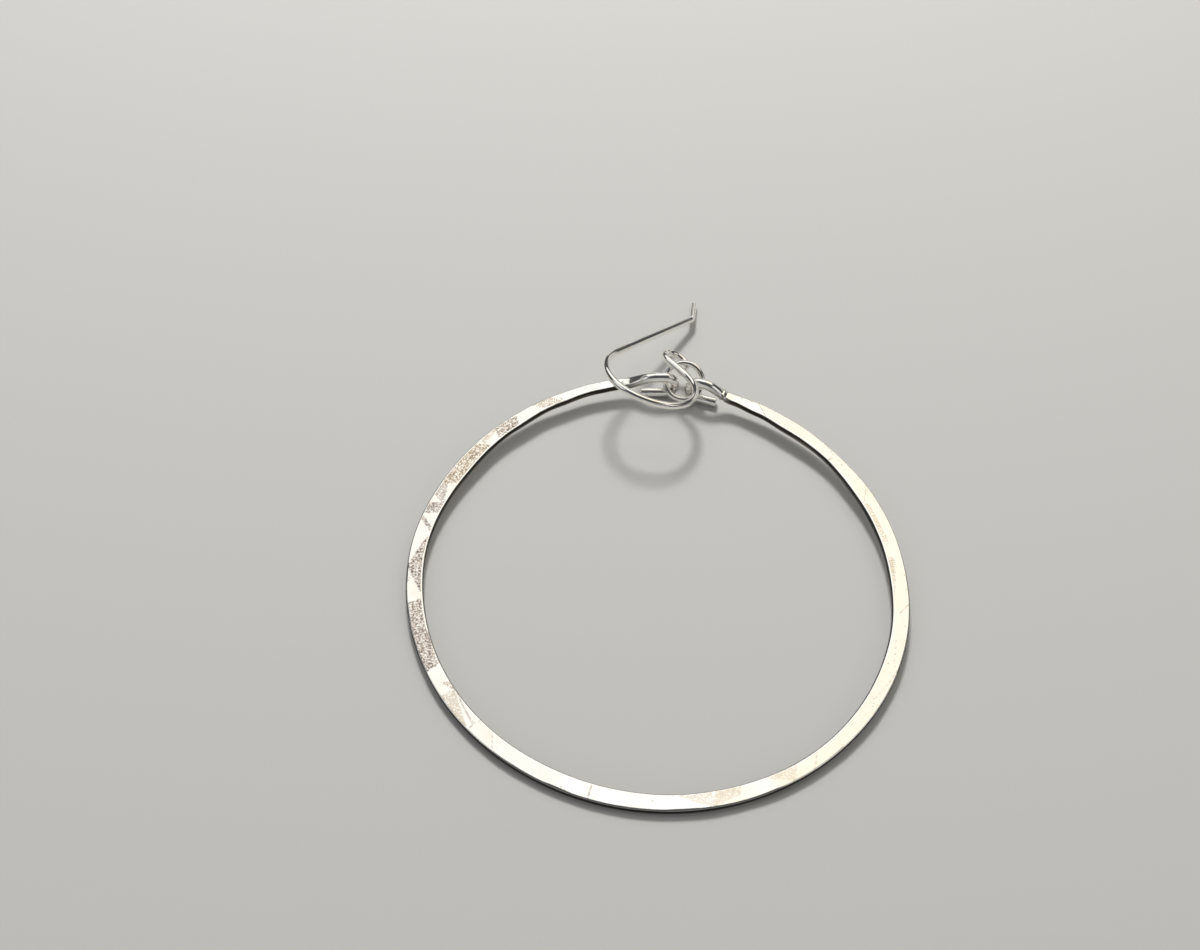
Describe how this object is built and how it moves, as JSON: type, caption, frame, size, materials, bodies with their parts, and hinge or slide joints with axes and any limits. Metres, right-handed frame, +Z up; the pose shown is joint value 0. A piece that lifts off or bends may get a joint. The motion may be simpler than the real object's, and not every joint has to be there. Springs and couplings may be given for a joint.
{
  "type": "hammered hoop earring",
  "caption": "Large flat-hammered wire hoop whose ends curl into eyes on a jump ring, hung from a French ear wire; shown lying flat.",
  "frame": {"origin": "middle of the bottom of the lying earring's box, on the surface it lies on", "axes": "+Z up from the surface; +Y from the hoop towards the ear wire's tip; +X to the right seen from above"},
  "size_m": [0.051, 0.0672, 0.0078],
  "materials": {
    "hammered_silver": "planished facets, part bright and part brushed, slightly warm",
    "polished_silver": "polished round wire"
  },
  "bodies": {
    "root": {"hoop": "hammered_silver", "jump_ring": "polished_silver", "ear_wire": "polished_silver"}
  },
  "joints": []
}
